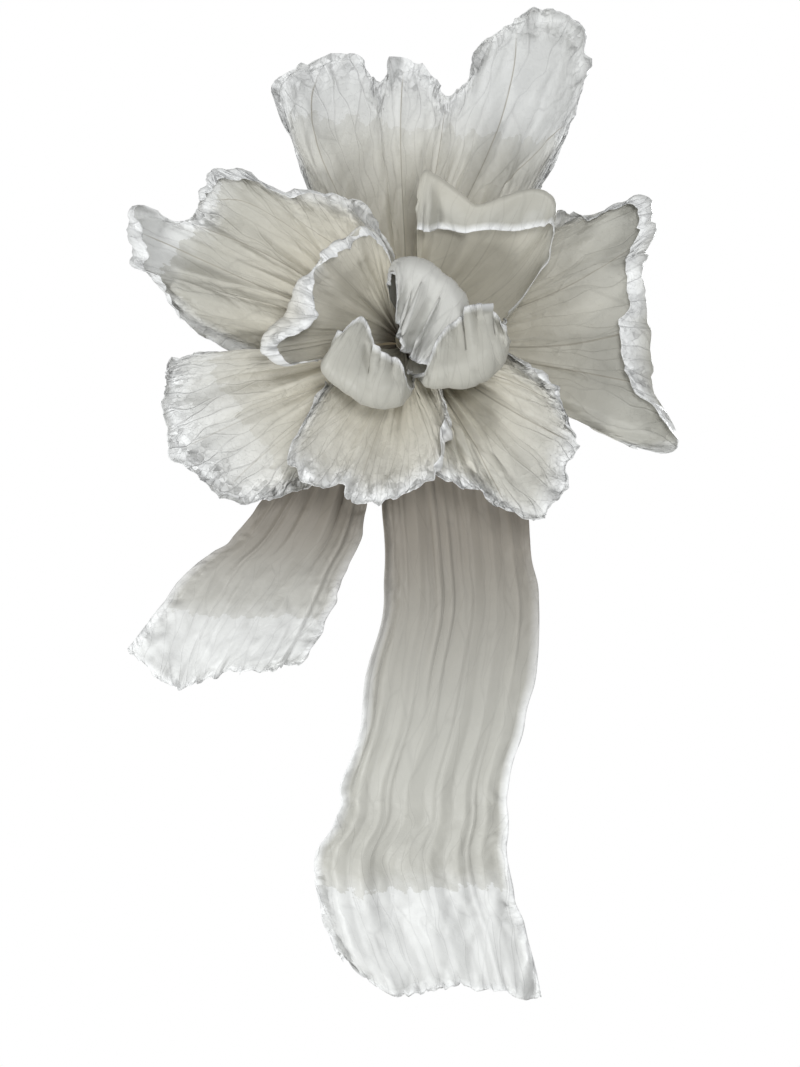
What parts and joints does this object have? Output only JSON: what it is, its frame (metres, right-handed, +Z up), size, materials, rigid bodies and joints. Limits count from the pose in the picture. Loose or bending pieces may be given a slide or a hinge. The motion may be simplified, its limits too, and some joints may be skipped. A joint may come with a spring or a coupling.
{
  "type": "giant paper wall flower",
  "caption": "Giant wall flower of crumpled white paper: gathered, wired petals with curled lips round a wooden post on a backing board, with pleated paper sheets hanging below.",
  "frame": {"origin": "centre of the backing board's back face, on the wall plane and on the flower's axis", "axes": "+Z up as it hangs, +Y into the wall, the flower faces -Y"},
  "size_m": [1.2146, 0.3878, 2.1928],
  "materials": {
    "paper": "crumpled, matt, slightly see-through",
    "wrapped_wire": "iron wire wrapped in white paper",
    "plywood": "bare poplar plywood",
    "dowel": "bare beech",
    "screw_steel": "zinc plated",
    "tape": "crepe paper tape"
  },
  "bodies": {
    "root": {"top_petal": "paper", "right_petal": "paper", "upper_left_petal": "paper", "lower_right_petal": "paper", "lower_left_petal": "paper", "upper_right_petal": "paper", "bottom_petal": "paper", "inner_left_petal": "paper", "inner_bottom_petal": "paper", "centre_right_petal": "paper", "centre_petal": "paper", "long_tail": "paper", "short_tail": "paper", "top_petal_wires": "wrapped_wire", "right_petal_wires": "wrapped_wire", "upper_left_petal_wires": "wrapped_wire", "lower_right_petal_wires": "wrapped_wire", "lower_left_petal_wires": "wrapped_wire", "upper_right_petal_wires": "wrapped_wire", "bottom_petal_wires": "wrapped_wire", "inner_left_petal_wires": "wrapped_wire", "inner_bottom_petal_wires": "wrapped_wire", "centre_right_petal_wires": "wrapped_wire", "centre_petal_wires": "wrapped_wire", "backing_board": "plywood", "post": "dowel", "upper_screw": "screw_steel", "lower_screw": "screw_steel", "hanging_loop": "screw_steel", "binding_tape": "tape"}
  },
  "joints": []
}
